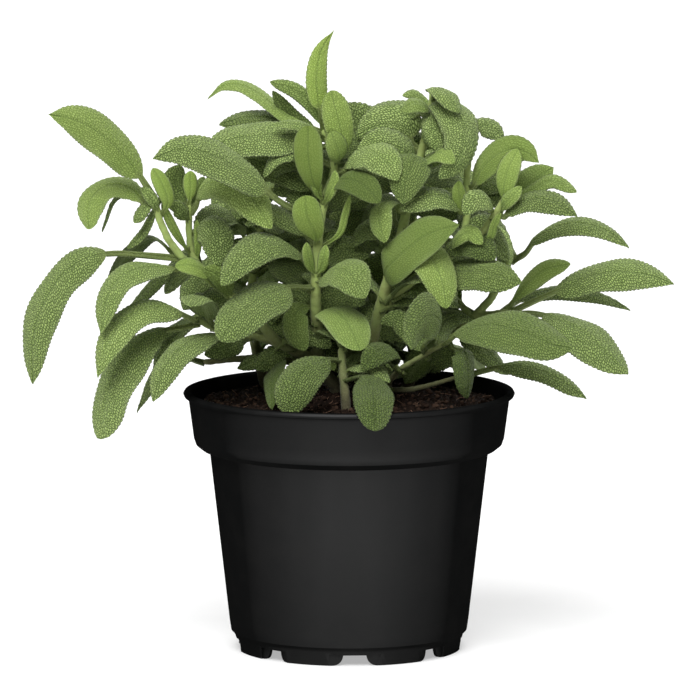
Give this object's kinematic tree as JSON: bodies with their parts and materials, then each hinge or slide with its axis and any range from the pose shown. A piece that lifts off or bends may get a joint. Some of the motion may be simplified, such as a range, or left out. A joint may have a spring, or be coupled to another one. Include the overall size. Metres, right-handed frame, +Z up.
{
  "type": "potted sage",
  "caption": "Bushy potted sage: grey-green pebbled leaves on branching stems, rooted in dark compost in a tapered black nursery pot with a rolled rim.",
  "frame": {"origin": "centre of the pot's foot, on the plane it stands on", "axes": "+Z up along the pot's axis, -Y towards the front of the plant"},
  "size_m": [0.2547, 0.1485, 0.2437],
  "materials": {
    "pot_plastic": "matt black moulded plastic with a soft sheen",
    "compost": "damp dark brown crumbs",
    "stem_bark": "downy green, browner at the foot",
    "leaf_green": "downy grey-green, pebbled"
  },
  "bodies": {
    "root": {"pot": "pot_plastic", "potting_soil": "compost", "middle_stem": "stem_bark", "front_stem": "stem_bark", "right_stem": "stem_bark", "low_right_stem": "stem_bark", "back_right_stem": "stem_bark", "back_left_stem": "stem_bark", "middle_leaf_1": "leaf_green", "middle_leaf_2": "leaf_green", "middle_leaf_3": "leaf_green", "middle_leaf_4": "leaf_green", "middle_leaf_5": "leaf_green", "middle_leaf_6": "leaf_green", "middle_leaf_7": "leaf_green", "middle_leaf_8": "leaf_green", "middle_leaf_9": "leaf_green", "middle_leaf_10": "leaf_green", "middle_leaf_11": "leaf_green", "middle_leaf_12": "leaf_green", "middle_leaf_13": "leaf_green", "middle_leaf_14": "leaf_green", "middle_leaf_15": "leaf_green", "middle_leaf_16": "leaf_green", "middle_leaf_17": "leaf_green", "middle_leaf_18": "leaf_green", "middle_leaf_19": "leaf_green", "middle_leaf_20": "leaf_green", "middle_leaf_21": "leaf_green", "middle_leaf_22": "leaf_green", "middle_leaf_23": "leaf_green", "middle_leaf_24": "leaf_green", "front_leaf_1": "leaf_green", "front_leaf_2": "leaf_green", "right_leaf_1": "leaf_green", "right_leaf_2": "leaf_green", "right_leaf_3": "leaf_green", "right_leaf_4": "leaf_green", "right_leaf_5": "leaf_green", "right_leaf_6": "leaf_green", "right_leaf_7": "leaf_green", "right_leaf_8": "leaf_green", "right_leaf_9": "leaf_green", "right_leaf_10": "leaf_green", "right_leaf_11": "leaf_green", "right_leaf_12": "leaf_green", "right_leaf_13": "leaf_green", "right_leaf_14": "leaf_green", "low_right_leaf_1": "leaf_green", "low_right_leaf_2": "leaf_green", "low_right_leaf_3": "leaf_green", "low_right_leaf_4": "leaf_green", "low_right_leaf_5": "leaf_green", "back_right_leaf_1": "leaf_green", "back_right_leaf_2": "leaf_green", "back_right_leaf_3": "leaf_green", "back_right_leaf_4": "leaf_green", "back_right_leaf_5": "leaf_green", "back_left_leaf_1": "leaf_green", "back_left_leaf_2": "leaf_green"}
  },
  "joints": []
}
